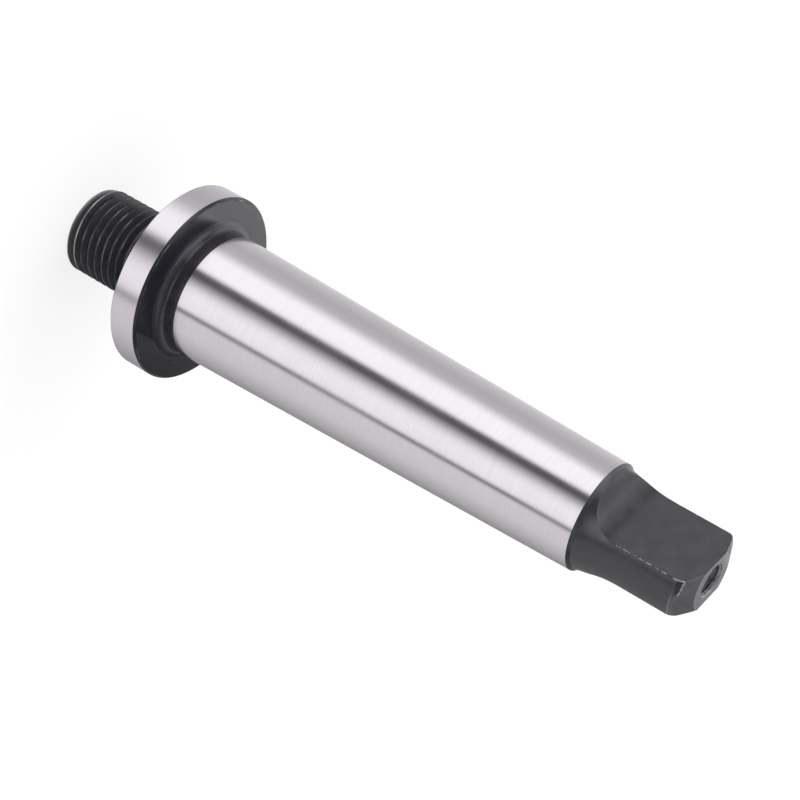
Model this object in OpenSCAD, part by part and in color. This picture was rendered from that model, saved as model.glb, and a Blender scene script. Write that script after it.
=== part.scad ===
// Drill chuck arbor: threaded stub, collar, Morse taper 2 and a flat tang.
// One piece, turned and ground, standing on its threaded end with +Z towards the tang.
// Lengths are in millimetres. The chuck thread is a plain stub at its major diameter.

/* [Threaded stub] */
// Major diameter of the chuck thread, 1/2 inch with 20 threads to the inch
thread_dia = 12.5; // [11.5:0.05:14]
// Length of the stub, from its free end to the collar
thread_len = 15.1; // [12:0.1:20]
// Width of the lead-in chamfer at the free end, at 45 degrees
thread_chamfer = 0.35; // [0.2:0.05:1]
// Width of the relief groove between the thread and the collar
groove_width = 2.4; // [1.6:0.1:3.2]
// Depth of the relief groove below the major diameter
groove_depth = 0.9; // [0.7:0.05:1.2]
// Gap around the thread's major diameter at which the collar's flat seat starts
seat_gap = 0.15; // [0.05:0.05:0.4]

/* [Centre hole in the threaded end] */
// Diameter of the 60 degree centre hole at its mouth
centre_mouth_dia = 4.2; // [3:0.1:5]
// Diameter of the centre hole's pilot drilling
centre_pilot_dia = 2; // [1:0.1:2.5]
// Length of the pilot drilling below the cone
centre_pilot_len = 2.4; // [1.5:0.1:4]

/* [Collar and neck] */
// Diameter of the collar that the chuck seats against
collar_dia = 27; // [22:0.5:32]
// Thickness of the collar
collar_thick = 4.5; // [3:0.1:6]
// Width of the chamfers on the collar's edges, at 45 degrees
collar_chamfer = 0.3; // [0.2:0.05:0.8]
// Length of the neck between the collar and the taper
neck_len = 2.7; // [2:0.1:5]
// How far the neck lies below the taper's large end
neck_step = 0.1; // [0.05:0.05:0.4]
// Radius of the fillet between the collar's face and the neck
neck_fillet = 1.2; // [0.5:0.1:1.8]

/* [Ground taper] */
// Diameter at the taper's large end
taper_dia = 18; // [17:0.1:19]
// Length of the ground taper
taper_len = 62; // [58:0.5:66]
// Length of taper over which the diameter falls by one millimetre
taper_rate = 20.02; // [19:0.01:21]
// Width of the chamfer at the taper's small end, at 45 degrees
taper_chamfer = 0.4; // [0.2:0.05:0.6]

/* [Turned tang] */
// Diameter to which the tang is turned
tang_dia = 12.5; // [11:0.1:13]
// Length of the tang, from the taper's small end
tang_len = 16; // [14:0.5:20]
// Radius of the concave blend between the taper and the tang
blend_radius = 30; // [20:1:40]
// Width of the chamfer around the tang's end, measured across the end face
end_chamfer = 2.1; // [1.4:0.1:2.6]
// Angle between that chamfer and the axis
end_angle = 58; // [45:1:65]
// Radius that rounds the start of the end chamfer
end_round = 1.2; // [0.6:0.1:1.6]

/* [Milled flats] */
// Thickness of the tang across its two flats
flat_thick = 6.3; // [5.8:0.05:6.8]
// Radius of the cutter that leaves the flats' run-outs
cutter_radius = 5; // [4:0.1:5.5]
// Distance from the taper's small end to the start of the run-outs
runout_start = 0.7; // [0.5:0.1:2]

/* [Tapped hole in the tang] */
// Drilled diameter of the tapped hole
hole_dia = 4.2; // [3.3:0.1:5]
// Depth of the tapped hole at full diameter
hole_depth = 12; // [8:0.5:20]
// Width of the countersink at the hole's mouth
hole_sink = 0.25; // [0.1:0.05:0.5]

/* [Hidden] */
$fn = 128;
// Overshoot of cutters past the surface they cut
over = 1;
// Angle across the point of a drill
drill_point = 118;
// Angle across the cone of the centre hole
centre_cone = 60;

thread_r = thread_dia / 2;
groove_r = thread_r - groove_depth;
// The groove's fillet ends outside the thread, so the chuck seats on flat steel
groove_fillet = min(groove_depth + seat_gap, groove_width - groove_depth);
collar_r = collar_dia / 2;
neck_r = taper_dia / 2 - neck_step;
taper_r = taper_dia / 2;
small_r = (taper_dia - taper_len / taper_rate) / 2;
blend_r = small_r - taper_chamfer;
tang_r = tang_dia / 2;

// Heights of the shoulders above the free end of the thread
collar_z = thread_len;
neck_z = collar_z + collar_thick;
taper_z = neck_z + neck_len;
small_z = taper_z + taper_len;
end_z = small_z + tang_len;

// The blend starts at the foot of the taper's small chamfer and touches the turned tang
blend_start_z = small_z + taper_chamfer;
blend_drop = blend_r - tang_r;
blend_len = sqrt(2 * blend_radius * blend_drop - blend_drop * blend_drop);
blend_z = blend_start_z + blend_len;

// The round touches the turned tang below the chamfer, and the chamfer itself
round_z = end_z - end_chamfer / tan(end_angle) - end_round * tan(end_angle / 2);
round_x = tang_r - end_round;

// Height of the cutter's centre where the flats' run-outs end
cutter_z = small_z + runout_start + cutter_radius;

module thread_profile() {
    runout_z = collar_z - groove_width;
    polygon([
        [0, 0],
        [thread_r - thread_chamfer, 0],
        [thread_r, thread_chamfer],
        [thread_r, runout_z],
        [groove_r, runout_z + groove_depth],
        [groove_r, collar_z],
        [0, collar_z]
    ]);
    translate([groove_r, collar_z - groove_fillet])
        difference() {
            square(groove_fillet);
            translate([groove_fillet, 0]) circle(groove_fillet);
        }
}

module collar_profile() {
    polygon([
        [0, collar_z],
        [collar_r - collar_chamfer, collar_z],
        [collar_r, collar_z + collar_chamfer],
        [collar_r, neck_z - collar_chamfer],
        [collar_r - collar_chamfer, neck_z],
        [0, neck_z]
    ]);
}

module neck_profile() {
    translate([0, neck_z]) square([neck_r, neck_len]);
    translate([neck_r, neck_z])
        difference() {
            square(neck_fillet);
            translate([neck_fillet, neck_fillet]) circle(neck_fillet);
        }
}

module taper_profile() {
    polygon([
        [0, taper_z],
        [taper_r, taper_z],
        [small_r, small_z],
        [blend_r, blend_start_z],
        [0, blend_start_z]
    ]);
}

// The rounded chamfer, as the area that it takes off the tang's end
module end_chamfer_profile() {
    difference() {
        polygon([
            [tang_r, round_z],
            [round_x + end_round * cos(end_angle), round_z + end_round * sin(end_angle)],
            [tang_r - end_chamfer, end_z],
            [tang_r - end_chamfer, end_z + over],
            [tang_r + over, end_z + over],
            [tang_r + over, round_z]
        ]);
        translate([round_x, round_z]) circle(end_round);
    }
}

module tang_profile() {
    difference() {
        translate([0, blend_start_z]) square([blend_r, tang_len - taper_chamfer]);
        translate([tang_r, blend_z]) square([blend_r, tang_len]);
        translate([tang_r + blend_radius, blend_z]) circle(blend_radius);
        end_chamfer_profile();
    }
}

module turned_blank() {
    rotate_extrude() {
        thread_profile();
        collar_profile();
        neck_profile();
        taper_profile();
        tang_profile();
    }
}

// One pass of the cutter: its round end, then the straight run out of the tang's end
module flat_pass() {
    width = 2 * small_r + 2 * over;
    height = end_z + over - cutter_z;
    translate([0, -flat_thick / 2 - cutter_radius, cutter_z]) {
        rotate([0, 90, 0]) cylinder(r = cutter_radius, h = width, center = true);
        translate([-width / 2, -cutter_radius, 0]) cube([width, 2 * cutter_radius, height]);
    }
}

module flats() {
    for (side = [0, 1]) rotate([0, 0, 180 * side]) flat_pass();
}

// A drilled hole that runs down from the mouth at z = 0, with its drill point
module drilled_hole(dia, depth) {
    point = dia / 2 / tan(drill_point / 2);
    translate([0, 0, -depth]) cylinder(d = dia, h = depth + over);
    translate([0, 0, -depth - point]) cylinder(d1 = 0, d2 = dia, h = point);
}

module tang_hole() {
    translate([0, 0, end_z]) {
        drilled_hole(hole_dia, hole_depth);
        translate([0, 0, -hole_sink])
            cylinder(d1 = hole_dia, d2 = hole_dia + 4 * hole_sink, h = 2 * hole_sink);
    }
}

module centre_hole() {
    slope = tan(centre_cone / 2);
    cone_len = (centre_mouth_dia - centre_pilot_dia) / 2 / slope;
    mirror([0, 0, 1]) {
        translate([0, 0, -cone_len])
            cylinder(d1 = centre_pilot_dia, d2 = centre_mouth_dia + 2 * over * slope, h = cone_len + over);
        translate([0, 0, -cone_len]) drilled_hole(centre_pilot_dia, centre_pilot_len);
    }
}

module arbor() {
    color("silver")
        difference() {
            turned_blank();
            flats();
            tang_hole();
            centre_hole();
        }
}

arbor();
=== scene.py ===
"""Looks for the drill chuck arbor, one turned and ground piece of steel.

The arbor stands on its threaded end, with +Z towards the tang. Sizes are in millimetres
and repeat the driving values of part.scad. The mesh follows the solid's surface and adds
the helical threads, the broken edges and the worn corner of the tang.
"""

import math

import bmesh
import bpy
from mathutils import Matrix, Vector, noise


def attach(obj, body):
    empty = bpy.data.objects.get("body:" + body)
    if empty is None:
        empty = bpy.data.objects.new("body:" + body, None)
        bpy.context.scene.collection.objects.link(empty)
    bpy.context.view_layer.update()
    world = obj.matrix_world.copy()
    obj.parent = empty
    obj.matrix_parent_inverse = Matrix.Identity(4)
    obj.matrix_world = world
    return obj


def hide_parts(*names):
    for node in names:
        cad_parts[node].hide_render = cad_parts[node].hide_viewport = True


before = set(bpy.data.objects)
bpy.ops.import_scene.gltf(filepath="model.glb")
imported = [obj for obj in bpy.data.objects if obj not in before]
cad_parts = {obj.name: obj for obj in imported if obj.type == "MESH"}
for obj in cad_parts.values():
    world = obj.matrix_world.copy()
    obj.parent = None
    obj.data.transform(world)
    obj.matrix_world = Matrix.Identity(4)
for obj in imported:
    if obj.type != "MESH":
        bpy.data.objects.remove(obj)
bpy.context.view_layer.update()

MM = 0.001

# Threaded stub
THREAD_R = 6.25
THREAD_LEN = 15.1
THREAD_PITCH = 1.27
THREAD_DEPTH = 0.72
THREAD_FLANK = math.tan(math.radians(30))
THREAD_CHAMFER = 0.35
GROOVE_WIDTH = 2.4
GROOVE_DEPTH = 0.9
SEAT_GAP = 0.15

# Centre hole in the threaded end
CENTRE_MOUTH_R = 2.1
CENTRE_PILOT_R = 1.0
CENTRE_PILOT_LEN = 2.4
CENTRE_SLOPE = math.tan(math.radians(30))

# Collar and neck
COLLAR_R = 13.5
COLLAR_THICK = 4.5
COLLAR_CHAMFER = 0.3
NECK_LEN = 2.7
NECK_R = 8.9
NECK_FILLET = 1.2

# Ground taper
TAPER_R = 9.0
TAPER_LEN = 62.0
TAPER_RATE = 20.02
TAPER_CHAMFER = 0.4

# Tang, with heights above the taper's small end
TANG_R = 6.25
TANG_LEN = 16.0
BLEND_R = 30.0
FLAT_HALF = 3.15
CUTTER_R = 5.0
RUNOUT_START = 0.7

# The tang's end chamfer, which is a little uneven. It meets the end face on a circle and
# the turned tang at a height that varies round the tang, and so does its rounding.
END_R = 3.95
CORNER_MEAN = 14.7
CORNER_TILT_X = -0.32
CORNER_TILT_Y = -0.44
ROUND_MEAN = 1.3
ROUND_TILT_X = -0.29
ROUND_TILT_Y = 1.5

# A shallow facet that is left beside the corner nearest the camera
FACET_START = 13.95
FACET_SLOPE = 0.36
FACET_NEAR = -28.0
FACET_FAR = -2.0

# The rounding of the front flat's end edge
END_BREAK = 0.2

# Tapped hole in the tang
HOLE_R = 2.1
HOLE_DEPTH = 12.0
HOLE_SINK = 0.25
TAP_PITCH = 0.8
TAP_DEPTH = 0.4
TAP_LEN = 7.0
DRILL_SLOPE = math.tan(math.radians(59))

# Shares of the pitch that a thread's crest and each of its flanks take
CREST = 0.125
FLANK = THREAD_DEPTH * THREAD_FLANK / THREAD_PITCH
TAP_CREST = 0.16
TAP_FLANK = TAP_DEPTH * THREAD_FLANK / TAP_PITCH

# How fast the tapped thread gets deeper below its mouth, and the share of the countersink
# that is faced bright with the end
TAP_ENTRY = 2.0
SINK_BRIGHT = 0.4

# Broken edges of the collar and the taper, and the width of the strips beside rounded
# edges that keep the rounding's shade off the flat faces
EDGE = 0.05
STRIP = 0.04

# Heights above the free end of the thread
COLLAR_Z = THREAD_LEN
NECK_Z = COLLAR_Z + COLLAR_THICK
TAPER_Z = NECK_Z + NECK_LEN
SMALL_Z = TAPER_Z + TAPER_LEN
END_Z = SMALL_Z + TANG_LEN
SMALL_R = TAPER_R - TAPER_LEN / TAPER_RATE / 2

# Columns of the mesh round half of the turned surface, and across each flat
SIDE_COLUMNS = 80
FLAT_COLUMNS = 14

# Rows of the taper, and of each run-out, where they lie closer towards its start
TAPER_ROWS = 16
RUNOUT_ROWS = 36
RUNOUT_CLOSER = 1.6

# Distances between the tang's rows on its blend, on its flats, and above the height from
# which they lie closer for the rounding of its end
BLEND_STEP = 0.2
FLAT_STEP = 0.25
END_STEP = 0.08
FINE_START = 13.0

# Rounds of the searches for a flat's corner and for the start of the run-outs
CORNER_ROUNDS = 4
RUNOUT_ROUNDS = 50

# Vertices nearer than this in metres are one, within a ring and between rings
RING_GAP = 1e-7
MERGE_GAP = 8e-7

# Edges of the mesh sharper than this angle in degrees stay sharp
SHARP_ANGLE = 24

# Heights between which the flats' edges are worn, and where the near one is knocked bright
WEAR_START = 5.5
WEAR_END = 12.6
BARE_START = 13.4

# The worn facet along a flat's edge: its least width, what knocks and fine wear add to it,
# and the most that it takes of the flat's half width
WEAR_WIDTH = 0.05
WEAR_KNOCK = 0.06
WEAR_FINE = 0.04
WEAR_SHARE = 0.4

# Angle of the near edge, between the front flat and the turned side
NEAR_ANGLE = -30.0

# The bright crease where the facet meets the end chamfer: the angle at which it ends, half
# of its width, and how much of that it loses on the way
CREASE_END = -12.0
CREASE_HALF = 0.1
CREASE_THIN = 0.05

# The end chamfer's grey, which is partly painted reflection, starts this far above its lower
# edge beside the crease, and this much lower past the facet, where it is a painted reflection
# on the rounding. It changes between the two angles.
GREY_ABOVE = 0.15
GREY_DROP = 0.4
GREY_FROM = -20.0
GREY_TO = -8.0

# A soft painted highlight below the chamfer, with its middle's angle, its reach and its tilt along
# Y
HIGHLIGHT_HEIGHT = 13.9
HIGHLIGHT_HALF = 0.26
HIGHLIGHT_ANGLE = 10.0
HIGHLIGHT_REACH = 3.4
HIGHLIGHT_TILT = 0.06

# Soft painted reflections on the blend beside the front run-out: height, angle and reach
PAINTED_REFLECTIONS = ((2.1, -36.5, 1.55), (3.8, -34, 1.1), (0.8, -92, 3.0))

# Heights on the run-outs between which a painted reflection at their start fades
RUNOUT_REFLECTION_START = 1.1
RUNOUT_REFLECTION_END = 1.6


# Shapes


def arc(centre_r, centre_z, radius, start, end, steps):
    """Points of a circle's arc in the profile, between two angles in degrees."""
    points = []
    for step in range(steps + 1):
        angle = math.radians(start + (end - start) * step / steps)
        points.append((centre_r + radius * math.cos(angle), centre_z + radius * math.sin(angle)))
    return points


def smooth(value, low, high):
    """Rises smoothly from 0 at low to 1 at high."""
    share = min(max((value - low) / (high - low), 0.0), 1.0)
    return share * share * (3 - 2 * share)


def blend_radius(height):
    """Radius of the turned tang up to its end chamfer, above the taper's small end."""
    if height < TAPER_CHAMFER:
        return SMALL_R - height
    drop = SMALL_R - TAPER_CHAMFER - TANG_R
    blend_end = TAPER_CHAMFER + math.sqrt(2 * BLEND_R * drop - drop * drop)
    if height < blend_end:
        return TANG_R + BLEND_R - math.sqrt(BLEND_R**2 - (blend_end - height) ** 2)
    return TANG_R


def end_chamfer(angle):
    """Where the end chamfer would meet the tang without its rounding, and its slope."""
    turn = math.radians(angle)
    edge = CORNER_MEAN + CORNER_TILT_X * math.cos(turn) + CORNER_TILT_Y * math.sin(turn)
    return edge, (TANG_R - END_R) / (TANG_LEN - edge)


def crease_height(angle):
    """Height at which the facet beside the near corner meets the end chamfer."""
    slope = end_chamfer(angle)[1]
    gap = END_R + TANG_LEN * slope - TANG_R - FACET_SLOPE * FACET_START
    return gap / (slope - FACET_SLOPE)


def tang_radius(height, angle):
    """Radius of the turned tang at a height and an angle in degrees from +X."""
    edge, slope = end_chamfer(angle)
    turn = math.radians(angle)
    rounding = ROUND_MEAN + ROUND_TILT_X * math.cos(turn) + ROUND_TILT_Y * math.sin(turn)
    lean = math.atan(slope)
    start = edge - rounding * math.tan(lean / 2)
    if height < start:
        radius = blend_radius(height)
    elif height < start + rounding * math.sin(lean):
        radius = TANG_R - rounding + math.sqrt(rounding**2 - (height - start) ** 2)
    else:
        radius = END_R + (TANG_LEN - height) * slope
    if height > FACET_START and -90 < angle < FACET_FAR:
        facet = TANG_R - FACET_SLOPE * (height - FACET_START)
        share = 1 - smooth(angle, FACET_NEAR, FACET_FAR)
        radius -= max(radius - facet, 0) * share
    return radius


def flat_half(height, side):
    """Half of the tang's thickness on one side, with the cutter's run-out and an end edge."""
    below = RUNOUT_START + CUTTER_R - height
    if below > 0:
        return FLAT_HALF + CUTTER_R - math.sqrt(max(CUTTER_R**2 - below * below, 0))
    over = max(height - (TANG_LEN - END_BREAK), 0) if side < 0 else 0
    return FLAT_HALF - END_BREAK + math.sqrt(END_BREAK**2 - over * over)


def polar(radius, angle, height):
    """A point in metres, from a radius and height in millimetres and an angle in degrees."""
    turn = math.radians(angle)
    return Vector((radius * math.cos(turn), radius * math.sin(turn), height)) * MM


def corner(height, side_x, side_y):
    """Angle from the X axis and distance along X at which a flat meets the turned surface."""
    half = flat_half(height, side_y)
    angle = math.asin(min(half / blend_radius(height), 1.0))
    for _ in range(CORNER_ROUNDS):
        shown = side_y * angle if side_x > 0 else math.pi - side_y * angle
        radius = tang_radius(height, (math.degrees(shown) + 180) % 360 - 180)
        angle = math.asin(min(half / radius, 1.0))
    return math.degrees(angle), radius * math.cos(angle)


def edge_wear(height, place):
    """Width of the worn facet along a flat's edge, which wears in another way at each place."""
    knock = noise.noise(Vector((height * 1.9, place * 7.0, 0.3)))
    fine = noise.noise(Vector((height * 6.0, place * 3.0, 5.0)))
    width = WEAR_WIDTH + WEAR_KNOCK * max(knock, 0) + WEAR_FINE * max(fine, 0)
    if place == 0:
        width += WEAR_KNOCK * smooth(height, BARE_START - 0.2, BARE_START + 0.4)
    return width


def arc_points(height, first, last):
    """Points of the turned surface between two angles, one for each column."""
    points = []
    for column in range(SIDE_COLUMNS + 1):
        angle = first + (last - first) * column / SIDE_COLUMNS
        radius = tang_radius(height, (angle + 180) % 360 - 180)
        points.append(polar(radius, angle, SMALL_Z + height))
    return points


def flat_points(height, first_x, last_x, y):
    """Points of a flat between two places across it, one for each column."""
    points = []
    for column in range(FLAT_COLUMNS + 1):
        x = first_x + (last_x - first_x) * column / FLAT_COLUMNS
        points.append(Vector((x, y, SMALL_Z + height)) * MM)
    return points


def tang_points(height):
    """One closed outline of the tang: side, back flat, other side and front flat."""
    corners = [corner(height, *sides) for sides in ((1, -1), (1, 1), (-1, 1), (-1, -1))]
    wears = []
    for place, (angle, x) in enumerate(corners):
        wears.append(min(edge_wear(height, place), WEAR_SHARE * x))
    turns = [angle - math.degrees(wear / TANG_R) for (angle, x), wear in zip(corners, wears)]
    ends = [x - wear for (angle, x), wear in zip(corners, wears)]
    front = min(flat_half(height, -1), blend_radius(height))
    back = min(flat_half(height, 1), blend_radius(height))
    points = arc_points(height, -turns[0], turns[1])
    points += flat_points(height, ends[1], -ends[2], back)
    points += arc_points(height, 180 - turns[2], 180 + turns[3])
    points += flat_points(height, -ends[3], ends[0], -front)
    return points


def side_finish(height, angle):
    """The finish of one side of the tang, with the marks beside its near corner."""
    half = CREASE_HALF - CREASE_THIN * smooth(angle, FACET_NEAR, CREASE_END)
    if angle < CREASE_END and abs(height - crease_height(angle)) < half:
        return "bare"
    # Past the facet the chamfer's grey reaches lower, as a painted reflection on the rounding
    grey = end_chamfer(angle)[0] + GREY_ABOVE - GREY_DROP * smooth(angle, GREY_FROM, GREY_TO)
    return "chamfer" if height > grey else "turned"


def tang_finishes(low, high):
    """The finish of each face between two rows of the tang."""
    middle = (low + high) / 2
    far = "turned" if middle < CORNER_MEAN else "chamfer"
    worn = "worn" if WEAR_START < middle < WEAR_END else far
    near = "bare" if BARE_START < middle < crease_height(NEAR_ANGLE) else worn
    first = -corner(middle, 1, -1)[0]
    last = corner(middle, 1, 1)[0]
    side = []
    for column in range(SIDE_COLUMNS):
        angle = first + (last - first) * (column + 0.5) / SIDE_COLUMNS
        side.append(side_finish(middle, angle))
    flat = ["milled"] * FLAT_COLUMNS
    return side + [worn] + flat + [worn] + [far] * SIDE_COLUMNS + [worn] + flat + [near]


# Angles of the same columns on a plain turned ring, where each flat is a single point
PLAIN_ANGLES = (
    [180 * column / SIDE_COLUMNS - 90 for column in range(SIDE_COLUMNS + 1)]
    + [90] * (FLAT_COLUMNS + 1)
    + [180 * column / SIDE_COLUMNS + 90 for column in range(SIDE_COLUMNS + 1)]
    + [270] * (FLAT_COLUMNS + 1)
)


class Skin:
    """The arbor's surface, grown ring by ring from the centre hole to the tapped hole."""

    def __init__(self):
        self.mesh = bmesh.new()
        self.last = None

    def ring(self, points):
        """New vertices at the points. Neighbours at one place share a vertex."""
        verts = []
        for point in points:
            same = verts and (verts[-1].co - point).length < RING_GAP
            verts.append(verts[-1] if same else self.mesh.verts.new(point))
        return verts

    def face(self, corners, finish):
        """A face between the corners, if they make one."""
        distinct = list(dict.fromkeys(corners))
        if len(distinct) > 2:
            self.mesh.faces.new(distinct).material_index = SLOTS[finish]

    def grow(self, points, finish, closed=True):
        """Joins the last ring to a new one. finish is one name, or one for each column."""
        ring = self.ring(points)
        count = len(ring)
        names = [finish] * count if isinstance(finish, str) else finish
        if self.last:
            for column in range(count if closed else count - 1):
                after = (column + 1) % count
                corners = (self.last[column], self.last[after], ring[after], ring[column])
                self.face(corners, names[column])
        self.last = ring

    def turn(self, profile, finish, angles):
        """Grows plain turned rings through the profile's points of radius and height."""
        for radius, height in profile:
            self.grow([polar(radius, angle, height) for angle in angles], finish)

    def wind(self, angles, start, end, pitch, knots, radius_of):
        """Grows a helical thread from one height to another, along rings that climb.

        knots are shares of the pitch with the finish that follows each. radius_of gives the
        surface's radius at a height and an angle. Rings that run past an end lie on it.
        """
        open_angles = angles + [angles[0] + 360]
        down = end < start
        low, high = min(start, end), max(start, end)
        turns = math.ceil((high - low) / pitch) + 1
        marks = [(turn + share) * pitch for turn in range(-1, turns) for share, name in knots]
        names = [name for turn in range(-1, turns) for share, name in knots]
        marks = [low + mark for mark in marks] + [high + pitch]
        names.append(names[0])
        order = range(len(marks))
        self.last = None
        for index in reversed(order) if down else order:
            points = []
            for angle in open_angles:
                climb = pitch * (angle - angles[0]) / 360
                height = min(max(marks[index] - pitch + climb, low), high)
                points.append(polar(radius_of(height, angle), angle, height))
            name = names[index] if down else names[max(index - 1, 0)]
            self.grow(points, name, closed=False)
        self.last = None


def thread_share(height, angle, pitch, start_angle):
    """How far through its pitch a right-hand thread is at a height and an angle."""
    return (height / pitch - (angle - start_angle) / 360) % 1.0


def thread_cut(share, crest, flank):
    """Depth of a thread as a share of its full depth, from the start of its crest."""
    if share < crest:
        return 0.0
    if share < crest + flank:
        return (share - crest) / flank
    if share < 1 - flank:
        return 1.0
    return (1 - share) / flank


def stub_radius(height, angle):
    """Radius of the threaded stub, with its lead-in chamfer and its run-out to the groove."""
    share = thread_share(height, angle, THREAD_PITCH, PLAIN_ANGLES[0])
    thread = THREAD_R - THREAD_DEPTH * thread_cut(share, CREST, FLANK)
    lead_in = THREAD_R - THREAD_CHAMFER + height
    run_out = THREAD_R + (COLLAR_Z - GROOVE_WIDTH) - height
    return min(thread, lead_in, run_out)


def tapped_radius(height, angle):
    """Radius of the tapped hole in the tang, from its countersink down to the tap's lead."""
    share = thread_share(height - END_Z, angle, TAP_PITCH, 0)
    thread = HOLE_R + TAP_DEPTH * thread_cut(share, TAP_CREST, TAP_FLANK)
    mouth = HOLE_R + TAP_ENTRY * (END_Z - HOLE_SINK - height)
    lead = HOLE_R + height - (END_Z - TAP_LEN)
    return min(thread, mouth, lead)


def grow_centre_hole(skin):
    """The centre hole that the arbor was turned on, from its drill point to its mouth."""
    cone_z = (CENTRE_MOUTH_R - CENTRE_PILOT_R) / CENTRE_SLOPE
    pilot_z = cone_z + CENTRE_PILOT_LEN
    tip_z = pilot_z + CENTRE_PILOT_R / DRILL_SLOPE
    skin.turn([(0, tip_z), (CENTRE_PILOT_R, pilot_z)], "hole", PLAIN_ANGLES)
    skin.turn([(CENTRE_PILOT_R, cone_z), (CENTRE_MOUTH_R, 0)], "end_face", PLAIN_ANGLES)


def grow_stub(skin):
    """The threaded stub with its end face, thread and relief groove."""
    groove_r = THREAD_R - GROOVE_DEPTH
    groove_z = COLLAR_Z - GROOVE_WIDTH + GROOVE_DEPTH
    fillet = GROOVE_DEPTH + SEAT_GAP
    skin.grow([polar(stub_radius(0, a), a, 0) for a in PLAIN_ANGLES], "oxide")
    plain = sorted(set(PLAIN_ANGLES))[:-1]
    knots = [(0, "crest"), (CREST, "thread")]
    knots += [(CREST + FLANK * step / 3, "thread") for step in (1, 2, 3)]
    knots += [(1 - FLANK * step / 3, "thread") for step in (3, 2, 1)]
    skin.wind(plain, 0, groove_z, THREAD_PITCH, knots, stub_radius)
    skin.turn([(groove_r, groove_z), (groove_r, COLLAR_Z - fillet)], "thread", PLAIN_ANGLES)
    seat = arc(groove_r + fillet, COLLAR_Z - fillet, fillet, 180, 90, steps=8)
    skin.turn(seat[1:], "oxide", PLAIN_ANGLES)


def grow_collar(skin):
    """The collar, ground on its rim, and the neck behind it."""
    seat_r = COLLAR_R - COLLAR_CHAMFER
    fillet_r = NECK_R + NECK_FILLET
    skin.turn([(seat_r - EDGE, COLLAR_Z)], "oxide", PLAIN_ANGLES)
    skin.turn([(seat_r + EDGE / 2, COLLAR_Z + EDGE / 2)], "oxide", PLAIN_ANGLES)
    skin.turn([(COLLAR_R, COLLAR_Z + COLLAR_CHAMFER)], "oxide", PLAIN_ANGLES)
    skin.turn([(COLLAR_R, NECK_Z - COLLAR_CHAMFER)], "rim", PLAIN_ANGLES)
    skin.turn([(seat_r + EDGE / 2, NECK_Z - EDGE / 2)], "oxide", PLAIN_ANGLES)
    skin.turn([(seat_r - EDGE, NECK_Z)], "rubbed", PLAIN_ANGLES)
    face = [(seat_r - EDGE - STRIP, NECK_Z), (fillet_r + STRIP, NECK_Z)]
    fillet = arc(fillet_r, NECK_Z + NECK_FILLET, NECK_FILLET, 270, 180, steps=16)
    skin.turn(face, "oxide", PLAIN_ANGLES)
    skin.turn(fillet, "turned", PLAIN_ANGLES)
    neck = [(NECK_R, NECK_Z + NECK_FILLET + STRIP), (NECK_R, TAPER_Z), (TAPER_R - EDGE, TAPER_Z)]
    skin.turn(neck, "turned", PLAIN_ANGLES)


def grow_taper(skin):
    """The ground taper."""
    for row in range(TAPER_ROWS + 1):
        height = EDGE + (TAPER_LEN - EDGE) * row / TAPER_ROWS
        radius = TAPER_R - height / TAPER_RATE / 2
        skin.turn([(radius, TAPER_Z + height)], "ground", PLAIN_ANGLES)


def runout_heights():
    """Heights from where the cutter first meets the turned surface to where it runs flat."""
    centre = RUNOUT_START + CUTTER_R
    low, high = RUNOUT_START, centre
    for _ in range(RUNOUT_ROUNDS):
        middle = (low + high) / 2
        if flat_half(middle, -1) < blend_radius(middle):
            high = middle
        else:
            low = middle
    first = math.acos((centre - low) / CUTTER_R)
    heights = []
    for row in range(RUNOUT_ROWS + 1):
        turn = first + (math.pi / 2 - first) * (row / RUNOUT_ROWS) ** RUNOUT_CLOSER
        heights.append(centre - CUTTER_R * math.cos(turn))
    return heights


def spaced(first, last, pitch):
    """Evenly spaced heights after the first, up to the last."""
    steps = max(round((last - first) / pitch), 1)
    return [first + (last - first) * (step + 1) / steps for step in range(steps)]


def grow_tang(skin):
    """The tang: the turned blend, the flats with their run-outs, and the chamfered end."""
    runout = runout_heights()
    heights = [TAPER_CHAMFER] + spaced(TAPER_CHAMFER, runout[0], BLEND_STEP)
    heights += runout[1:]
    heights += spaced(runout[-1], FINE_START, FLAT_STEP)
    heights += spaced(FINE_START, TANG_LEN - END_BREAK, END_STEP)
    heights += [TANG_LEN - END_BREAK * share for share in (0.6, 0.3, 0.1, 0)]
    low = 0
    for height in heights:
        skin.grow(tang_points(height), tang_finishes(low, height))
        low = height


def grow_tapped_hole(skin):
    """The tang's end face and the tapped hole in it."""
    outline = tang_points(TANG_LEN)
    angles = []
    for point in outline:
        angle = math.degrees(math.atan2(point.y, point.x))
        while angles and angle < angles[-1]:
            angle += 360
        angles.append(angle)
    thread_z = END_Z - HOLE_SINK
    faced = SINK_BRIGHT * HOLE_SINK
    bright = [(HOLE_R + HOLE_SINK, END_Z), (HOLE_R + HOLE_SINK - faced, END_Z - faced)]
    skin.turn(bright, "end_face", angles)
    skin.turn([(HOLE_R, thread_z)], "hole", angles)
    knots = [(0, "hole"), (TAP_CREST, "hole"), (TAP_CREST + TAP_FLANK / 2, "hole")]
    knots += [(TAP_CREST + TAP_FLANK, "hole"), (1 - TAP_FLANK, "hole"), (1 - TAP_FLANK / 2, "hole")]
    skin.wind(angles, thread_z, END_Z - TAP_LEN, TAP_PITCH, knots, tapped_radius)
    floor_z = END_Z - HOLE_DEPTH
    tip_z = floor_z - HOLE_R / DRILL_SLOPE
    bore = [(HOLE_R, END_Z - TAP_LEN), (HOLE_R, floor_z), (0, tip_z)]
    skin.turn(bore, "hole", angles)


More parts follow.
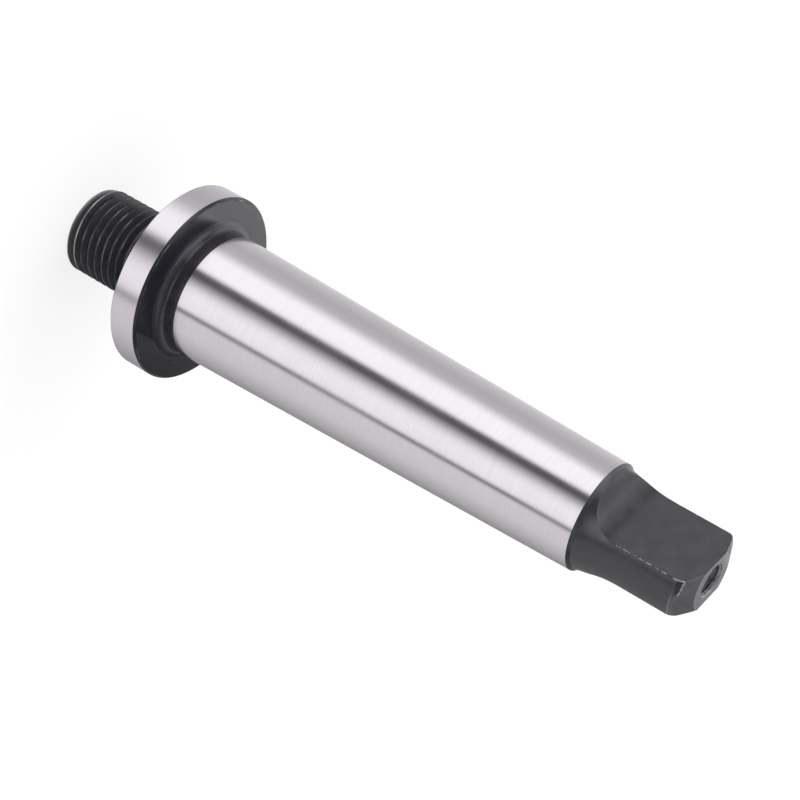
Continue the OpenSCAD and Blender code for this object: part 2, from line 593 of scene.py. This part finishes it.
def make_arbor():
    """The whole arbor as one closed mesh, riding on the row's only body."""
    skin = Skin()
    grow_centre_hole(skin)
    grow_stub(skin)
    grow_collar(skin)
    grow_taper(skin)
    grow_tang(skin)
    grow_tapped_hole(skin)
    bmesh.ops.remove_doubles(skin.mesh, verts=skin.mesh.verts, dist=MERGE_GAP)
    data = bpy.data.meshes.new("arbor_steel")
    skin.mesh.to_mesh(data)
    skin.mesh.free()
    data.polygons.foreach_set("use_smooth", [True] * len(data.polygons))
    data.set_sharp_from_angle(angle=math.radians(SHARP_ANGLE))
    arbor = bpy.data.objects.new("arbor_steel", data)
    bpy.context.scene.collection.objects.link(arbor)
    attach(arbor, "root")
    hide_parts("arbor")
    return arbor


# Finishes


class Paint:
    """A new material with its Principled shader and short ways to add nodes."""

    def __init__(self, name):
        self.material = bpy.data.materials.new(name)
        self.material.use_nodes = True
        self.nodes = self.material.node_tree.nodes
        self.links = self.material.node_tree.links
        self.shader = self.nodes["Principled BSDF"]

    def add(self, kind, **settings):
        """A new node with its settings."""
        node = self.nodes.new(kind)
        for name, value in settings.items():
            setattr(node, name, value)
        return node

    def set(self, **values):
        """Sets constant inputs of the shader by name, with _ for a space."""
        for name, value in values.items():
            self.shader.inputs[name.replace("_", " ")].default_value = value

    def link(self, start, end):
        self.links.new(start, end)

    def place(self, stretch=(1, 1, 1)):
        """Object coordinates in millimetres, times a stretch along each axis."""
        coords = self.add("ShaderNodeTexCoord")
        scale = self.add("ShaderNodeVectorMath", operation="MULTIPLY")
        scale.inputs[1].default_value = [1000 * value for value in stretch]
        self.link(coords.outputs["Object"], scale.inputs[0])
        return scale.outputs[0]

    def grain(self, stretch, detail=3.0, rough=0.55):
        """Noise between 0 and 1, with its features stretched along the axes."""
        texture = self.add("ShaderNodeTexNoise")
        texture.inputs["Scale"].default_value = 1.0
        texture.inputs["Detail"].default_value = detail
        texture.inputs["Roughness"].default_value = rough
        self.link(self.place(stretch), texture.inputs["Vector"])
        return texture.outputs["Fac"]

    def height(self, tilt=0.0):
        """Height above the threaded end in millimetres, or above a plane tilted along Y."""
        across = self.add("ShaderNodeVectorMath", operation="DOT_PRODUCT")
        across.inputs[1].default_value = (0, tilt, 1)
        self.link(self.place(), across.inputs[0])
        return across.outputs["Value"]

    def near(self, spot, reach):
        """Falls from 1 round a spot to 0 at its reach, both in millimetres."""
        gap = self.add("ShaderNodeVectorMath", operation="DISTANCE")
        gap.inputs[1].default_value = spot
        self.link(self.place(), gap.inputs[0])
        return self.spread(gap.outputs["Value"], 1, 0, start=0.3 * reach, end=reach)

    def rings(self, pitch):
        """Turning marks: noise that runs along the profile and is the same round the axis."""
        across = self.add("ShaderNodeVectorMath", operation="LENGTH")
        self.link(self.place((1, 1, 0)), across.inputs[0])
        texture = self.add("ShaderNodeTexNoise", noise_dimensions="1D")
        texture.inputs["Scale"].default_value = 1 / pitch
        texture.inputs["Detail"].default_value = 2.0
        self.link(self.math("ADD", across.outputs["Value"], self.height()), texture.inputs["W"])
        return texture.outputs["Fac"]

    def math(self, operation, first, second):
        """The result of an operation on two values."""
        node = self.add("ShaderNodeMath", operation=operation)
        self.link(first, node.inputs[0])
        self.link(second, node.inputs[1])
        return node.outputs[0]

    def spread(self, value, low, high, start=0.3, end=0.7):
        """Maps a value between start and end to one between low and high."""
        node = self.add("ShaderNodeMapRange")
        node.inputs["From Min"].default_value = start
        node.inputs["From Max"].default_value = end
        node.inputs["To Min"].default_value = low
        node.inputs["To Max"].default_value = high
        self.link(value, node.inputs["Value"])
        return node.outputs["Result"]

    def blend(self, share, dark, light):
        """A colour between two, by a share."""
        node = self.add("ShaderNodeMix", data_type="RGBA")
        node.inputs["A"].default_value = (*dark, 1)
        node.inputs["B"].default_value = (*light, 1)
        self.link(share, node.inputs["Factor"])
        return node.outputs["Result"]

    def shade(self, noise_value, dark, light):
        """A colour that a noise moves between two."""
        return self.blend(self.spread(noise_value, 0, 1), dark, light)

    def tint(self, share, base, light):
        """A colour that turns from a linked one to a light one, by a share."""
        node = self.add("ShaderNodeMix", data_type="RGBA")
        node.inputs["B"].default_value = (*light, 1)
        self.link(share, node.inputs["Factor"])
        self.link(base, node.inputs["A"])
        return node.outputs["Result"]

    def color(self, output):
        self.link(output, self.shader.inputs["Base Color"])

    def roughness(self, output):
        self.link(output, self.shader.inputs["Roughness"])

    def bump(self, height, depth):
        """A bump of that depth in millimetres."""
        node = self.add("ShaderNodeBump")
        node.inputs["Distance"].default_value = depth * MM
        self.link(height, node.inputs["Height"])
        self.link(node.outputs["Normal"], self.shader.inputs["Normal"])

    def grind(self, dark, light):
        """Steel with fine marks round the axis, which draw reflections out along the axis."""
        self.set(Metallic=1.0, Anisotropic=0.6, Anisotropic_Rotation=0.25)
        marks = self.grain((0.12, 0.12, 9.0), detail=4.0, rough=0.7)
        self.color(self.shade(marks, dark, light))
        self.bump(marks, 0.0006)
        tangent = self.add("ShaderNodeTangent", direction_type="RADIAL", axis="Z")
        self.link(tangent.outputs["Tangent"], self.shader.inputs["Tangent"])
        return marks


def ground_steel():
    """Cylindrically ground steel on the taper."""
    paint = Paint("ground_steel")
    paint.grind((0.86, 0.81, 0.86), (0.93, 0.89, 0.93))
    clouds = paint.grain((0.2, 0.2, 0.12), detail=2.0)
    paint.roughness(paint.spread(clouds, 0.15, 0.21))
    return paint.material


def ground_rim():
    """The collar's rim, ground a little coarser than the taper."""
    paint = Paint("ground_rim")
    marks = paint.grind((0.835, 0.785, 0.85), (0.895, 0.85, 0.91))
    paint.roughness(paint.spread(marks, 0.22, 0.27))
    return paint.material


def black_oxide():
    """Black oxide on the turned collar and neck, smooth and glossy."""
    paint = Paint("black_oxide")
    paint.set(IOR=1.7)
    rings = paint.rings(0.25)
    clouds = paint.grain((0.35, 0.35, 0.35))
    paint.color(paint.shade(clouds, (0.015, 0.016, 0.022), (0.021, 0.022, 0.03)))
    paint.roughness(paint.spread(rings, 0.18, 0.24))
    paint.bump(rings, 0.0008)
    return paint.material


def turned_oxide_and_painted_light():
    """Black oxide on the turned tang with a soft gloss, painted reflections and a painted
    highlight.
    """
    paint = Paint("turned_oxide_and_painted_light")
    paint.set(IOR=1.7)
    mottle = paint.grain((0.8, 0.8, 0.8), detail=4.0)
    grit = paint.grain((4.0, 4.0, 4.0), detail=2.0)
    oxide = paint.shade(mottle, (0.027, 0.027, 0.036), (0.039, 0.039, 0.051))
    # Light patches painted on the blend, as painted reflections in the oxide
    for height, angle, reach in PAINTED_REFLECTIONS:
        spot = polar(blend_radius(height), angle, SMALL_Z + height) / MM
        oxide = paint.tint(paint.near(spot, reach), oxide, (0.074, 0.073, 0.079))
    # A soft band painted lighter below the chamfer, as a painted highlight on its rounding
    line = SMALL_Z + HIGHLIGHT_HEIGHT
    height = paint.height(HIGHLIGHT_TILT)
    rise = paint.spread(height, 0, 1, start=line - HIGHLIGHT_HALF, end=line)
    fall = paint.spread(height, 1, 0, start=line, end=line + HIGHLIGHT_HALF)
    middle = paint.near(polar(TANG_R, HIGHLIGHT_ANGLE, line) / MM, HIGHLIGHT_REACH)
    painted_highlight = paint.math("MULTIPLY", paint.math("MULTIPLY", rise, fall), middle)
    paint.color(paint.tint(painted_highlight, oxide, (0.15, 0.15, 0.155)))
    paint.roughness(paint.spread(mottle, 0.19, 0.27))
    paint.bump(grit, 0.004)
    return paint.material


def milled_oxide_and_painted_light():
    """Dull, mottled black oxide on the milled flats, with a painted reflection where the run-outs
    start.
    """
    paint = Paint("milled_oxide_and_painted_light")
    paint.set(IOR=1.7)
    mottle = paint.grain((0.5, 0.5, 0.5), detail=4.0)
    grit = paint.grain((5.0, 5.0, 5.0), detail=2.0)
    oxide = paint.shade(mottle, (0.04, 0.039, 0.05), (0.056, 0.055, 0.069))
    # Painted reflection: lighter where the run-outs start, fading higher up
    height = paint.height()
    painted_reflection = paint.spread(height, 1, 0, start=SMALL_Z + RUNOUT_REFLECTION_START, end=SMALL_Z + RUNOUT_REFLECTION_END)
    paint.color(paint.tint(painted_reflection, oxide, (0.075, 0.073, 0.086)))
    paint.roughness(paint.spread(mottle, 0.28, 0.38))
    paint.bump(grit, 0.006)
    return paint.material


def chamfer_oxide_and_reflection():
    """Black oxide on the tang's filed end chamfer, greyer than elsewhere, partly as painted
    reflection.
    """
    paint = Paint("chamfer_oxide_and_reflection")
    paint.set(IOR=1.7)
    mottle = paint.grain((0.8, 0.8, 0.8), detail=4.0)
    grit = paint.grain((5.0, 5.0, 5.0), detail=2.0)
    paint.color(paint.shade(mottle, (0.093, 0.092, 0.104), (0.119, 0.118, 0.131)))
    paint.roughness(paint.spread(mottle, 0.36, 0.46))
    paint.bump(grit, 0.006)
    return paint.material


def machined_face():
    """The tang's end face, faced off after the oxide and dulled."""
    paint = Paint("machined_face")
    paint.set(Metallic=0.9)
    marks = paint.grain((2.2, 2.2, 2.2), detail=4.0)
    paint.color(paint.shade(marks, (0.328, 0.315, 0.338), (0.465, 0.445, 0.475)))
    paint.roughness(paint.spread(marks, 0.4, 0.55))
    paint.bump(marks, 0.01)
    return paint.material


def worn_edge():
    """An edge where handling has cut through the oxide in dashes."""
    paint = Paint("worn_edge")
    paint.set(Metallic=0.8)
    chips = paint.grain((1.3, 1.3, 1.3), detail=3.0)
    bare = paint.spread(chips, 0, 1, start=0.42, end=0.6)
    paint.color(paint.blend(bare, (0.11, 0.11, 0.115), (0.62, 0.61, 0.63)))
    paint.roughness(paint.spread(chips, 0.5, 0.35))
    return paint.material


def bare_edge():
    """An edge that a blow has rubbed bright."""
    paint = Paint("bare_edge")
    paint.set(Metallic=0.5)
    rubs = paint.grain((2.2, 2.2, 2.2), detail=3.0)
    paint.color(paint.shade(rubs, (0.27, 0.265, 0.28), (0.6, 0.59, 0.61)))
    paint.roughness(paint.spread(rubs, 0.5, 0.35))
    return paint.material


def rubbed_oxide():
    """A turned edge that keeps its oxide, with a few bright spots."""
    paint = Paint("rubbed_oxide")
    paint.set(Metallic=0.7)
    rubs = paint.grain((0.5, 0.5, 0.5), detail=4.0)
    bare = paint.spread(rubs, 0, 1, start=0.52, end=0.68)
    paint.color(paint.blend(bare, (0.03, 0.03, 0.034), (0.4, 0.39, 0.41)))
    paint.roughness(paint.spread(rubs, 0.45, 0.3))
    return paint.material


def thread_oxide_and_highlight():
    """Black oxide in the thread, lighter towards its lead-in, with a painted highlight on the end's
    edge.
    """
    paint = Paint("thread_oxide_and_highlight")
    paint.set(IOR=1.5)
    stains = paint.grain((1.5, 1.5, 1.5), detail=4.0)
    height = paint.height()
    oxide = paint.shade(stains, (0.034, 0.034, 0.043), (0.055, 0.055, 0.066))
    # Lighter grey towards the lead-in
    lead_in = paint.spread(height, 0.8, 0, start=0.9, end=1.7)
    # Painted highlight: the lead-in chamfer's edge painted light grey
    edge = paint.spread(height, 0.8, 0, start=0.25, end=0.5)
    greyed = paint.tint(lead_in, oxide, (0.085, 0.083, 0.087))
    paint.color(paint.tint(edge, greyed, (0.35, 0.35, 0.35)))
    paint.roughness(paint.spread(stains, 0.3, 0.45))
    paint.bump(stains, 0.01)
    return paint.material


def thread_crest():
    """Thread crests, lighter in spots and lightest on the first one."""
    paint = Paint("thread_crest")
    paint.set(Metallic=0.7)
    rubs = paint.grain((0.5, 0.5, 0.5), detail=4.0)
    bare = paint.spread(rubs, 0, 1, start=0.42, end=0.66)
    crests = paint.blend(bare, (0.045, 0.046, 0.05), (0.2, 0.2, 0.21))
    # The first crest is lighter than the others
    first = paint.spread(paint.height(), 1, 0, start=1.9, end=2.2)
    first = paint.math("MULTIPLY", first, paint.spread(rubs, 0.35, 1, start=0.35, end=0.6))
    paint.color(paint.tint(first, crests, (0.55, 0.54, 0.55)))
    paint.roughness(paint.spread(rubs, 0.4, 0.3))
    return paint.material


def hole_oxide():
    """The inside of the holes, flecked lighter, and more so towards the tapped hole's mouth."""
    paint = Paint("hole_oxide")
    paint.set(Metallic=0.3)
    flecks = paint.grain((1.1, 1.1, 1.1), detail=3.0)
    # More light flecks towards the tapped hole's mouth
    mouth = paint.spread(paint.height(), 0, 0.12, start=END_Z - 2.5, end=END_Z - 0.5)
    bare = paint.spread(paint.math("ADD", flecks, mouth), 0, 1, start=0.52, end=0.7)
    paint.color(paint.blend(bare, (0.22, 0.208, 0.238), (0.42, 0.41, 0.44)))
    paint.roughness(paint.spread(flecks, 0.35, 0.5))
    return paint.material


# Every finish that the mesh names, in the order of its material slots
MAKERS = {
    "ground": ground_steel,
    "rim": ground_rim,
    "oxide": black_oxide,
    "turned": turned_oxide_and_painted_light,
    "milled": milled_oxide_and_painted_light,
    "chamfer": chamfer_oxide_and_reflection,
    "end_face": machined_face,
    "worn": worn_edge,
    "bare": bare_edge,
    "rubbed": rubbed_oxide,
    "thread": thread_oxide_and_highlight,
    "crest": thread_crest,
    "hole": hole_oxide,
}
SLOTS = {name: index for index, name in enumerate(MAKERS)}


# Studio

CAMERA_PLACE = Vector((164.1, -182.3, 165.7))
CAMERA_TARGET = Vector((-0.97, 0.65, 52.61))
CAMERA_ROLL = 119.8
CAMERA_LENS = 94.66
CAMERA_AZIMUTH = math.degrees(math.atan2(CAMERA_PLACE.y, CAMERA_PLACE.x))

# Brightness of the studio that polished steel mirrors, by the angle from the camera's side.
# It has a grey wall, a soft box, a black flag, a second soft box, a seam and a fading wall.
STUDIO = (
    (-180, 0.8),
    (-140, 0.6),
    (-104, 0.46),
    (-82, 0.52),
    (-62, 1.05),
    (-32, 1.05),
    (-28, 0.8),
    (-23, 0.1),
    (-13, 0.09),
    (8, 0.84),
    (18, 0.95),
    (36, 0.92),
    (43, 0.88),
    (50, 0.1),
    (57, 0.67),
    (90, 0.63),
    (150, 0.31),
    (172, 0.3),
)
# The same above the horizon, which shows in the tang's blend
HIGH_STUDIO = (
    (-180, 0.95),
    (-160, 0.9),
    (-112, 1.0),
    (-97, 0.8),
    (-91, 0.0),
    (-75, 0.0),
    (-68, 0.5),
    (-60, 1.0),
    (-40, 0.9),
    (-28, 0.04),
    (0, 0.04),
    (36, 0.04),
    (52, 0.1),
    (66, 0.4),
    (95, 0.45),
    (130, 0.3),
    (170, 0.1),
)
# Higher up, where the collar's face mirrors a window's edge behind the arbor
UPPER_STUDIO = (
    (-180, 1.4),
    (-150, 1.4),
    (-125, 0.7),
    (-114, 0.25),
    (-96, 0.25),
    (-84, 0.6),
    (-40, 0.6),
    (-28, 0.05),
    (80, 0.08),
    (140, 0.08),
    (165, 0.06),
    (178, 0.02),
)
# The ceiling, which shows in the neck's fillet and the tang's chamfer
TOP_STUDIO = (
    (-180, 0.1),
    (-146, 0.1),
    (-125, 0.5),
    (-108, 1.0),
    (-78, 1.2),
    (-60, 0.85),
    (-30, 0.3),
    (0, 0.1),
    (40, 0.2),
    (90, 0.45),
    (123, 0.35),
    (135, 0.15),
    (148, 0.05),
)
# Each band of the studio, with the heights of view between which it takes over
BANDS = (
    (HIGH_STUDIO, 0.0, 0.15),
    (UPPER_STUDIO, 0.38, 0.48),
    (TOP_STUDIO, 0.58, 0.68),
)


def make_camera():
    """The camera at the photograph's viewing angle, rolled so that the arbor lies across."""
    data = bpy.data.cameras.new("camera")
    data.lens = CAMERA_LENS
    data.sensor_width = 36
    data.clip_start = 0.01
    data.clip_end = 20
    camera = bpy.data.objects.new("camera", data)
    turn = (CAMERA_TARGET - CAMERA_PLACE).to_track_quat("-Z", "Y").to_matrix()
    turn = turn @ Matrix.Rotation(math.radians(CAMERA_ROLL), 3, "Z")
    camera.matrix_world = Matrix.Translation(CAMERA_PLACE * MM) @ turn.to_4x4()
    bpy.context.scene.collection.objects.link(camera)
    bpy.context.scene.camera = camera


def make_floor():
    """A plain white floor that keeps the arbor's soft shadow."""
    half = 2.5
    corners = [(-half, -half, 0), (half, -half, 0), (half, half, 0), (-half, half, 0)]
    data = bpy.data.meshes.new("floor")
    data.from_pydata(corners, [], [(0, 1, 2, 3)])
    floor = bpy.data.objects.new("floor", data)
    bpy.context.scene.collection.objects.link(floor)
    floor.visible_glossy = False
    material = bpy.data.materials.new("floor_white")
    material.use_nodes = True
    nodes = material.node_tree.nodes
    links = material.node_tree.links
    nodes.clear()
    matt = nodes.new("ShaderNodeBsdfDiffuse")
    matt.inputs["Color"].default_value = (0.85, 0.85, 0.85, 1)
    # The camera sees this glow over part of the matt white, so only the shadow stays grey
    glow = nodes.new("ShaderNodeEmission")
    glow.inputs["Strength"].default_value = 1.22
    rays = nodes.new("ShaderNodeLightPath")
    share = nodes.new("ShaderNodeMath")
    share.operation = "MULTIPLY"
    share.inputs[1].default_value = 0.62
    mix = nodes.new("ShaderNodeMixShader")
    out = nodes.new("ShaderNodeOutputMaterial")
    links.new(rays.outputs["Is Camera Ray"], share.inputs[0])
    links.new(share.outputs[0], mix.inputs[0])
    links.new(matt.outputs[0], mix.inputs[1])
    links.new(glow.outputs[0], mix.inputs[2])
    links.new(mix.outputs[0], out.inputs["Surface"])
    data.materials.append(material)


def studio_ramp(nodes, levels):
    """A colour ramp over a whole turn, from angles in degrees and brightness levels."""
    ramp = nodes.new("ShaderNodeValToRGB")
    stops = ramp.color_ramp.elements
    while len(stops) > 1:
        stops.remove(stops[-1])
    for index, (azimuth, level) in enumerate(levels):
        share = (azimuth + 180) / 360
        stop = stops[0] if index == 0 else stops.new(share)
        stop.position = share
        stop.color = (level, level, level, 1)
    return ramp


def make_world():
    """White to the camera, soft light to matt surfaces, and the studio to polished ones."""
    world = bpy.data.worlds.new("studio")
    bpy.context.scene.world = world
    world.use_nodes = True
    nodes = world.node_tree.nodes
    links = world.node_tree.links
    nodes.clear()
    coords = nodes.new("ShaderNodeTexCoord")
    turn = nodes.new("ShaderNodeVectorRotate")
    turn.rotation_type = "Z_AXIS"
    turn.inputs["Angle"].default_value = math.radians(-CAMERA_AZIMUTH)
    split = nodes.new("ShaderNodeSeparateXYZ")
    angle = nodes.new("ShaderNodeMath")
    angle.operation = "ARCTAN2"
    place = nodes.new("ShaderNodeMapRange")
    place.inputs["From Min"].default_value = -math.pi
    place.inputs["From Max"].default_value = math.pi
    links.new(coords.outputs["Generated"], turn.inputs["Vector"])
    links.new(turn.outputs[0], split.inputs[0])
    links.new(split.outputs["Y"], angle.inputs[0])
    links.new(split.outputs["X"], angle.inputs[1])
    links.new(angle.outputs[0], place.inputs["Value"])
    low = studio_ramp(nodes, STUDIO)
    links.new(place.outputs[0], low.inputs["Fac"])
    studio = low.outputs["Color"]
    for levels, start, end in BANDS:
        band = studio_ramp(nodes, levels)
        rise = nodes.new("ShaderNodeMapRange")
        rise.inputs["From Min"].default_value = start
        rise.inputs["From Max"].default_value = end
        mix = nodes.new("ShaderNodeMix")
        mix.data_type = "RGBA"
        links.new(place.outputs[0], band.inputs["Fac"])
        links.new(split.outputs["Z"], rise.inputs["Value"])
        links.new(rise.outputs[0], mix.inputs["Factor"])
        links.new(studio, mix.inputs["A"])
        links.new(band.outputs["Color"], mix.inputs["B"])
        studio = mix.outputs["Result"]
    mirror = nodes.new("ShaderNodeBackground")
    links.new(studio, mirror.inputs["Color"])
    soft = nodes.new("ShaderNodeBackground")
    soft.inputs["Color"].default_value = (0.75, 0.75, 0.75, 1)
    white = nodes.new("ShaderNodeBackground")
    white.inputs["Color"].default_value = (1, 1, 1, 1)
    rays = nodes.new("ShaderNodeLightPath")
    seen = nodes.new("ShaderNodeMath")
    seen.operation = "MAXIMUM"
    links.new(rays.outputs["Is Camera Ray"], seen.inputs[0])
    links.new(rays.outputs["Is Transmission Ray"], seen.inputs[1])
    polished = nodes.new("ShaderNodeMixShader")
    links.new(rays.outputs["Is Glossy Ray"], polished.inputs[0])
    links.new(soft.outputs[0], polished.inputs[1])
    links.new(mirror.outputs[0], polished.inputs[2])
    final = nodes.new("ShaderNodeMixShader")
    links.new(seen.outputs[0], final.inputs[0])
    links.new(polished.outputs[0], final.inputs[1])
    links.new(white.outputs[0], final.inputs[2])
    out = nodes.new("ShaderNodeOutputWorld")
    links.new(final.outputs[0], out.inputs["Surface"])


def make_lamp(name, place, aim, size, power):
    """A soft square lamp with its size in metres, which polished steel doesn't mirror."""
    data = bpy.data.lights.new(name, "AREA")
    data.size = size
    data.energy = power
    lamp = bpy.data.objects.new(name, data)
    lamp.location = place
    lamp.rotation_mode = "QUATERNION"
    lamp.rotation_quaternion = (aim - place).to_track_quat("-Z", "Y")
    lamp.visible_glossy = False
    lamp.visible_camera = False
    bpy.context.scene.collection.objects.link(lamp)


arbor = make_arbor()
for make_finish in MAKERS.values():
    arbor.data.materials.append(make_finish())
make_camera()
make_floor()
make_world()
make_lamp("key_lamp", Vector((-0.5, -0.9, 1.1)), aim=Vector((0, 0, 0.05)), size=0.9, power=5.0)
bpy.context.scene.view_settings.view_transform = "Standard"
